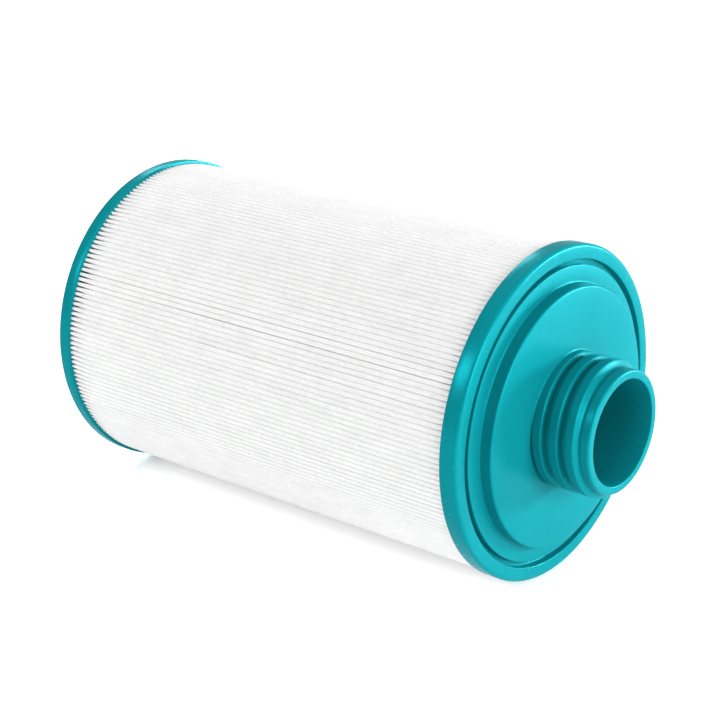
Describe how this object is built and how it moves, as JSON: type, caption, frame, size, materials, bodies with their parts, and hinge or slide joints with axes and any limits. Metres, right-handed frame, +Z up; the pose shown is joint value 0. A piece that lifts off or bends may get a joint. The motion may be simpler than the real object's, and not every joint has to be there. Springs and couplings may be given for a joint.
{
  "type": "pleated filter cartridge",
  "caption": "Pleated pool and spa filter cartridge with cast end caps, a coarse-threaded nozzle on one end and a fixed grip handle on the closed end.",
  "frame": {"origin": "on the floor under the centre of the bounding box, with the cartridge lying on its side", "axes": "+X along the cartridge's axis and out of the threaded nozzle, +Z up; the handle's legs are spaced along Y"},
  "size_m": [0.2998, 0.151, 0.151],
  "materials": {
    "cast_urethane": "semi-gloss cast polyurethane, coloured through",
    "moulded_insert": "semi-gloss moulded plastic, coloured through",
    "core_plastic": "matt moulded polypropylene",
    "filter_fabric": "matt spunbonded polyester sheet",
    "seam_glue": "matt set glue"
  },
  "bodies": {
    "root": {"threaded_end_cap": "cast_urethane", "threaded_adapter": "moulded_insert", "closed_end_cap": "cast_urethane", "closed_end_plate": "moulded_insert", "grip_handle": "moulded_insert", "core_half_threaded_end": "core_plastic", "core_half_closed_end": "core_plastic", "pleated_media": "filter_fabric", "media_seam": "seam_glue"}
  },
  "joints": []
}
